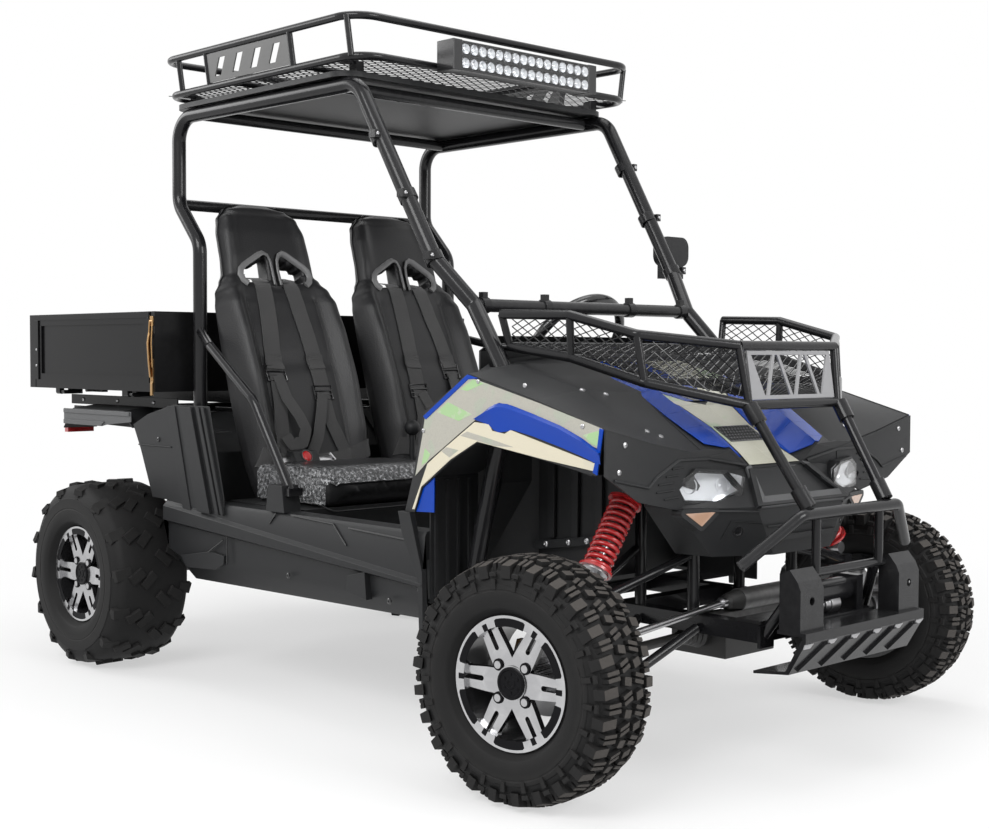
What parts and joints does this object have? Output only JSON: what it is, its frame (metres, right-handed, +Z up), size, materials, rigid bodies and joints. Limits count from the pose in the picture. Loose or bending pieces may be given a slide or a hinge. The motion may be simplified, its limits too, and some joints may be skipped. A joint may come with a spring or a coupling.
{
  "type": "side by side utility vehicle",
  "caption": "Side by side utility vehicle with tube cage, bucket seats, dump bed, roof rack, front cargo basket, knobby tyres, steered front wheels and folding bed sides.",
  "frame": {"origin": "on the ground under the middle of the whole vehicle's box", "axes": "+X forward, +Y to the driver's left, +Z up"},
  "size_m": [2.7023, 1.6002, 1.772],
  "materials": {
    "frame_paint": "satin",
    "black_plastic": "grained",
    "body_paint": "gloss",
    "cast_metal": "rough",
    "steel": "brushed",
    "rim_alloy": "machined",
    "tyre": "matte",
    "lens": "clear",
    "black_metal": "satin",
    "seat_vinyl": "soft",
    "spring_red": "gloss",
    "rubber_trim": "soft",
    "webbing": "woven",
    "rack_metal": "satin"
  },
  "bodies": {
    "chassis": {"basket": "frame_paint", "basket_mesh": "frame_paint", "basket_truss": "rack_metal", "bed_braces": "frame_paint", "bed_frame": "frame_paint", "cage_cross_bars": "frame_paint", "cage_left": "frame_paint", "cage_right": "frame_paint", "chassis_frame": "frame_paint", "dashboard": "black_plastic", "engine": "cast_metal", "exhaust": "steel", "fender_left": "body_paint", "fender_right": "body_paint", "floor_tub": "black_plastic", "front_arms": "frame_paint", "front_bumper": "frame_paint", "front_frame": "frame_paint", "gear_lever": "black_plastic", "harnesses": "webbing", "hood": "body_paint", "lamps": "lens", "light_bar": "black_metal", "mirror_left": "black_plastic", "nose": "black_plastic", "rack_side_plates": "rack_metal", "rear_axle": "cast_metal", "rear_mudguards": "black_plastic", "rear_side_panels": "black_plastic", "roof_panel": "black_plastic", "roof_rack": "frame_paint", "seat_base": "black_plastic", "seat_cushions": "seat_vinyl", "seat_left": "seat_vinyl", "seat_right": "seat_vinyl", "shock_dampers": "steel", "shock_springs": "spring_red", "side_skirts": "black_plastic", "skid_plate": "black_metal", "steering_column": "frame_paint", "steering_rack": "cast_metal", "wheel_liners": "black_plastic", "winch": "black_metal"},
    "front_right_knuckle": {"knuckle_right": "cast_metal"},
    "front_left_knuckle": {"knuckle_left": "cast_metal"},
    "tie_rods": {"tie_rods": "steel"},
    "steering_wheel": {"steering_wheel": "rubber_trim"},
    "front_right_wheel": {"front_right_tyre": "tyre", "front_right_rim": "rim_alloy"},
    "front_left_wheel": {"front_left_tyre": "tyre", "front_left_rim": "rim_alloy"},
    "rear_right_wheel": {"rear_right_tyre": "tyre", "rear_right_rim": "rim_alloy"},
    "rear_left_wheel": {"rear_left_tyre": "tyre", "rear_left_rim": "rim_alloy"},
    "bed": {"bed_tray": "black_plastic"},
    "tailgate": {"tailgate": "black_plastic"},
    "bed_side_right": {"bed_side_right": "black_plastic"},
    "bed_side_left": {"bed_side_left": "black_plastic"}
  },
  "joints": [
    {"name": "front_right_steer", "type": "hinge", "parent": "chassis", "child": "front_right_knuckle", "pos_m": [0.964, -0.56, 0.256], "axis": [0, 0, 1], "range_deg": [-38, 22]},
    {"name": "front_left_steer", "type": "hinge", "parent": "chassis", "child": "front_left_knuckle", "pos_m": [0.964, 0.56, 0.256], "axis": [0, 0, 1], "range_deg": [-38, 22]},
    {"name": "tie_rod_slide", "type": "slide", "parent": "chassis", "child": "tie_rods", "axis": [0, 1, 0], "range_m": [-0.0645, 0.0375]},
    {"name": "steering_wheel_turn", "type": "hinge", "parent": "chassis", "child": "steering_wheel", "pos_m": [0.244, 0.24, 0.94], "axis": [-0.8192, 0, 0.5736], "range_deg": [-305, 177]},
    {"name": "front_right_wheel_spin", "type": "hinge", "parent": "front_right_knuckle", "child": "front_right_wheel", "pos_m": [0.98083, -0.67679, 0.256], "axis": [-0.1426, 0.9898, 0], "continuous": true},
    {"name": "front_left_wheel_spin", "type": "hinge", "parent": "front_left_knuckle", "child": "front_left_wheel", "pos_m": [0.94717, 0.67679, 0.256], "axis": [-0.1426, 0.9898, 0], "continuous": true},
    {"name": "rear_right_wheel_spin", "type": "hinge", "parent": "chassis", "child": "rear_right_wheel", "pos_m": [-0.855, -0.601, 0.272], "axis": [0, 1, 0], "continuous": true},
    {"name": "rear_left_wheel_spin", "type": "hinge", "parent": "chassis", "child": "rear_left_wheel", "pos_m": [-0.855, 0.601, 0.272], "axis": [0, 1, 0], "continuous": true},
    {"name": "bed_tip", "type": "hinge", "parent": "chassis", "child": "bed", "pos_m": [-1.256, 0, 0.772], "axis": [0, -1, 0], "range_deg": [0, 45]},
    {"name": "tailgate_fold", "type": "hinge", "parent": "bed", "child": "tailgate", "pos_m": [-1.333, 0, 0.8], "axis": [0, -1, 0], "range_deg": [0, 90]},
    {"name": "bed_side_right_fold", "type": "hinge", "parent": "bed", "child": "bed_side_right", "pos_m": [-0.961, -0.591, 0.8], "axis": [1, 0, 0], "range_deg": [0, 165]},
    {"name": "bed_side_left_fold", "type": "hinge", "parent": "bed", "child": "bed_side_left", "pos_m": [-0.961, 0.591, 0.8], "axis": [-1, 0, 0], "range_deg": [0, 165]}
  ],
  "couplings": [
    {"joint": "front_left_steer", "follows": "front_right_steer", "ratio": 1},
    {"joint": "tie_rod_slide", "follows": "front_right_steer", "m_per_rad": 0.0955},
    {"joint": "steering_wheel_turn", "follows": "front_right_steer", "ratio": 8}
  ]
}
